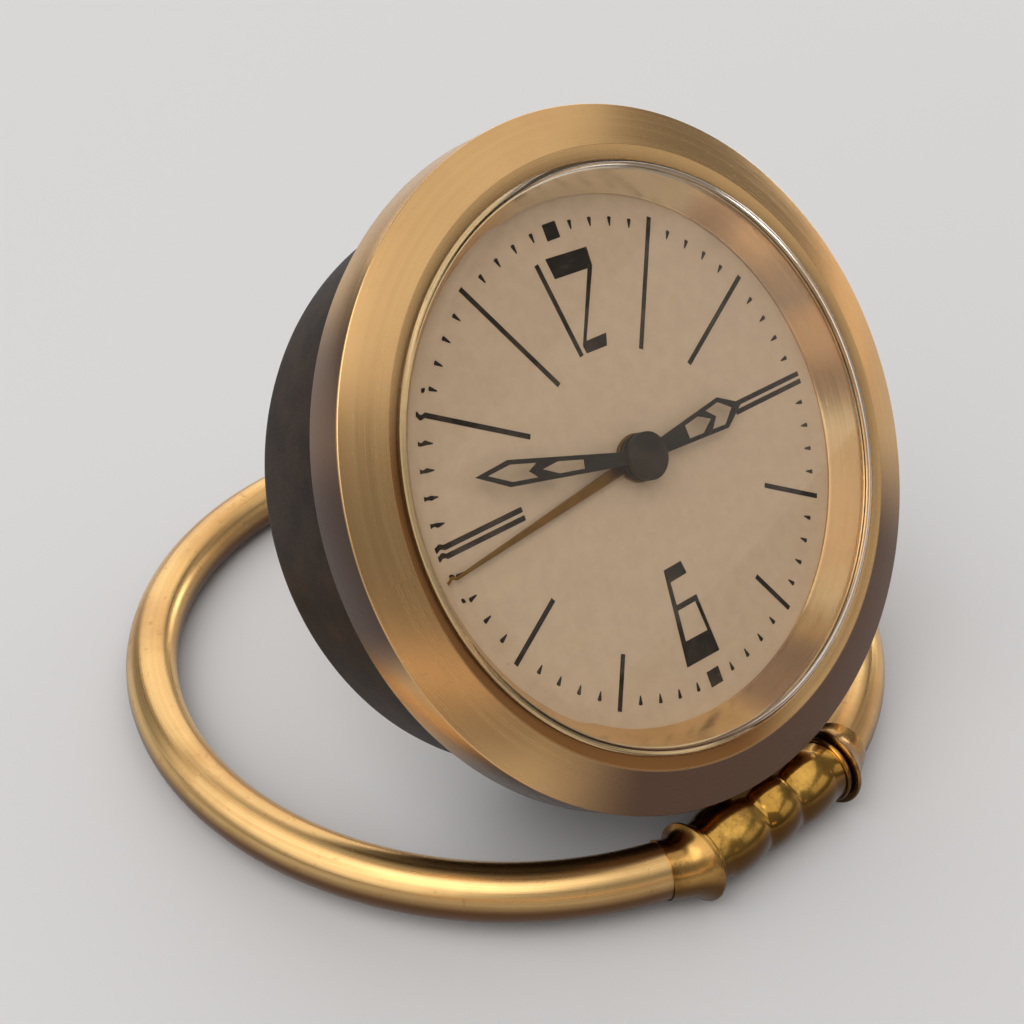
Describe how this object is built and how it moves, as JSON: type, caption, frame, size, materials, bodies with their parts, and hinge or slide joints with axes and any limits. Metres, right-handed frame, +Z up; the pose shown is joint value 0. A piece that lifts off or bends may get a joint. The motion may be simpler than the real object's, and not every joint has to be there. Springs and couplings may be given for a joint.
{
  "type": "pendulette alarm clock",
  "caption": "Small round mechanical alarm clock whose gilt case leans back on a hinged ring stand, with open hands and numbers on a cream dial.",
  "frame": {"origin": "on the table, under the middle of the clock's bounding box", "axes": "+Z up, +X to the dial's three o'clock side, the dial faces -Y and up, the ring lies towards +Y"},
  "size_m": [0.0832, 0.0834, 0.0637],
  "materials": {
    "ring_gold": "satin gilt",
    "hinge_gold": "polished gilt",
    "bezel_gold": "satin champagne gilt",
    "crystal": "clear acrylic",
    "reflector_gold": "turned gilt",
    "dial_cream": "satin champagne",
    "hand_black": "satin black",
    "alarm_brass": "aged brass",
    "case_dark": "dark bronze paint",
    "cover_steel": "satin",
    "key_brass": "polished",
    "plate_brass": "satin",
    "wheel_brass": "polished",
    "steel": "polished"
  },
  "bodies": {
    "stand": {"stand_ring": "ring_gold", "collar_left": "hinge_gold", "collar_right": "hinge_gold", "hinge_axle": "steel", "friction_washers": "steel"},
    "case": {"hinge_barrel": "hinge_gold", "saddle_screws": "steel", "bezel": "bezel_gold", "crystal": "crystal", "reflector_ring": "reflector_gold", "case_body": "case_dark", "dial": "dial_cream", "dial_spacer": "plate_brass", "main_plate": "plate_brass", "pillars": "plate_brass", "train_bridge": "plate_brass", "plate_screws": "steel", "back_cover": "cover_steel", "cover_screws": "steel", "minute_wheel_post": "steel", "hairspring_stud": "steel"},
    "minute_work": {"cannon_pinion": "steel", "minute_hand": "hand_black", "hand_cap": "hand_black"},
    "minute_wheel": {"minute_wheel": "wheel_brass"},
    "hour_work": {"hour_wheel": "wheel_brass", "hour_hand": "hand_black"},
    "hand_setter": {"hand_setting_arbor": "steel", "hand_setting_knob": "key_brass"},
    "alarm_work": {"alarm_wheel": "wheel_brass", "alarm_hand": "alarm_brass"},
    "alarm_setter": {"alarm_setting_arbor": "steel", "alarm_setting_knob": "key_brass"},
    "centre_wheel": {"centre_wheel": "wheel_brass"},
    "third_wheel": {"third_wheel": "wheel_brass"},
    "fourth_wheel": {"fourth_wheel": "wheel_brass"},
    "escape_wheel": {"escape_wheel": "wheel_brass"},
    "pallet_fork": {"pallet_fork": "steel"},
    "balance": {"balance_wheel": "wheel_brass", "hairspring": "steel"},
    "time_drum": {"time_barrel": "wheel_brass", "time_barrel_lid": "wheel_brass", "time_mainspring": "steel"},
    "time_winder": {"time_winding_arbor": "steel", "time_ratchet": "steel", "time_key": "key_brass"},
    "alarm_drum": {"alarm_barrel": "wheel_brass", "alarm_barrel_lid": "wheel_brass", "alarm_mainspring": "steel"},
    "alarm_winder": {"alarm_winding_arbor": "steel", "alarm_ratchet": "steel", "alarm_key": "key_brass"},
    "striker_wheel": {"striker_wheel": "wheel_brass"},
    "hammer": {"hammer": "steel"},
    "stop_button": {"stop_button": "key_brass"}
  },
  "joints": [
    {"name": "case_tilt", "type": "hinge", "parent": "stand", "child": "case", "pos_m": [0, -0.03767, 0.00405], "axis": [-1, 0, 0], "range_deg": [-34.1, 56.87]},
    {"name": "minute_turn", "type": "hinge", "parent": "case", "child": "minute_work", "pos_m": [0, -0.01938, 0.03635], "axis": [0, -0.8281, 0.5606], "continuous": true},
    {"name": "minute_wheel_turn", "type": "hinge", "parent": "case", "child": "minute_wheel", "pos_m": [0, -0.02386, 0.02972], "axis": [0, -0.8281, 0.5606], "continuous": true},
    {"name": "hour_turn", "type": "hinge", "parent": "case", "child": "hour_work", "pos_m": [0, -0.01938, 0.03635], "axis": [0, -0.8281, 0.5606], "continuous": true},
    {"name": "hand_setting_turn", "type": "hinge", "parent": "case", "child": "hand_setter", "pos_m": [0, -0.02835, 0.0231], "axis": [0, -0.8281, 0.5606], "continuous": true},
    {"name": "alarm_turn", "type": "hinge", "parent": "case", "child": "alarm_work", "pos_m": [0, -0.01938, 0.03635], "axis": [0, -0.8281, 0.5606], "continuous": true},
    {"name": "alarm_setting_turn", "type": "hinge", "parent": "case", "child": "alarm_setter", "pos_m": [-0.00766, -0.01577, 0.04167], "axis": [0, -0.8281, 0.5606], "continuous": true},
    {"name": "fourth_turn", "type": "hinge", "parent": "case", "child": "fourth_wheel", "pos_m": [0.01131, -0.01824, 0.03803], "axis": [0, -0.8281, 0.5606], "continuous": true},
    {"name": "third_turn", "type": "hinge", "parent": "case", "child": "third_wheel", "pos_m": [0.00448, -0.01503, 0.04277], "axis": [0, -0.8281, 0.5606], "continuous": true},
    {"name": "centre_turn", "type": "hinge", "parent": "case", "child": "centre_wheel", "pos_m": [0, -0.01938, 0.03635], "axis": [0, -0.8281, 0.5606], "continuous": true},
    {"name": "escape_turn", "type": "hinge", "parent": "case", "child": "escape_wheel", "pos_m": [0.01482, -0.02165, 0.033], "axis": [0, -0.8281, 0.5606], "continuous": true},
    {"name": "time_drum_turn", "type": "hinge", "parent": "case", "child": "time_drum", "pos_m": [-0.01015, -0.02145, 0.03329], "axis": [0, -0.8281, 0.5606], "continuous": true},
    {"name": "pallet_rock", "type": "hinge", "parent": "case", "child": "pallet_fork", "pos_m": [0.01337, -0.02468, 0.02852], "axis": [0, -0.8281, 0.5606], "range_deg": [-4, 4]},
    {"name": "balance_swing", "type": "hinge", "parent": "case", "child": "balance", "pos_m": [0.00883, -0.02771, 0.02405], "axis": [0, -0.8281, 0.5606], "range_deg": [-220, 220]},
    {"name": "time_winding", "type": "hinge", "parent": "case", "child": "time_winder", "pos_m": [-0.01015, -0.02145, 0.03329], "axis": [0, -0.8281, 0.5606], "continuous": true},
    {"name": "alarm_drum_turn", "type": "hinge", "parent": "case", "child": "alarm_drum", "pos_m": [-0.00427, -0.01044, 0.04955], "axis": [0, -0.8281, 0.5606], "continuous": true},
    {"name": "striker_turn", "type": "hinge", "parent": "case", "child": "striker_wheel", "pos_m": [-0.01239, -0.0121, 0.0471], "axis": [0, -0.8281, 0.5606], "continuous": true},
    {"name": "hammer_swing", "type": "hinge", "parent": "case", "child": "hammer", "pos_m": [-0.0196, -0.01366, 0.04479], "axis": [0, -0.8281, 0.5606], "range_deg": [-5, 4]},
    {"name": "alarm_winding", "type": "hinge", "parent": "case", "child": "alarm_winder", "pos_m": [-0.00427, -0.01044, 0.04955], "axis": [0, -0.8281, 0.5606], "continuous": true},
    {"name": "stop_press", "type": "slide", "parent": "case", "child": "stop_button", "axis": [0, -0.8281, 0.5606], "range_m": [0, 0.0015], "stiffness_N_per_m": 400, "springref_m": -0.001}
  ],
  "couplings": [
    {"joint": "minute_wheel_turn", "follows": "minute_turn", "ratio": -0.33333},
    {"joint": "hour_turn", "follows": "minute_turn", "ratio": 0.083333},
    {"joint": "hand_setting_turn", "follows": "minute_turn", "ratio": 1},
    {"joint": "alarm_setting_turn", "follows": "alarm_turn", "ratio": -4},
    {"joint": "third_turn", "follows": "fourth_turn", "ratio": -0.1},
    {"joint": "centre_turn", "follows": "fourth_turn", "ratio": 0.016667},
    {"joint": "escape_turn", "follows": "fourth_turn", "ratio": -8},
    {"joint": "time_drum_turn", "follows": "fourth_turn", "ratio": -0.0033333},
    {"joint": "striker_turn", "follows": "alarm_drum_turn", "ratio": -5}
  ]
}
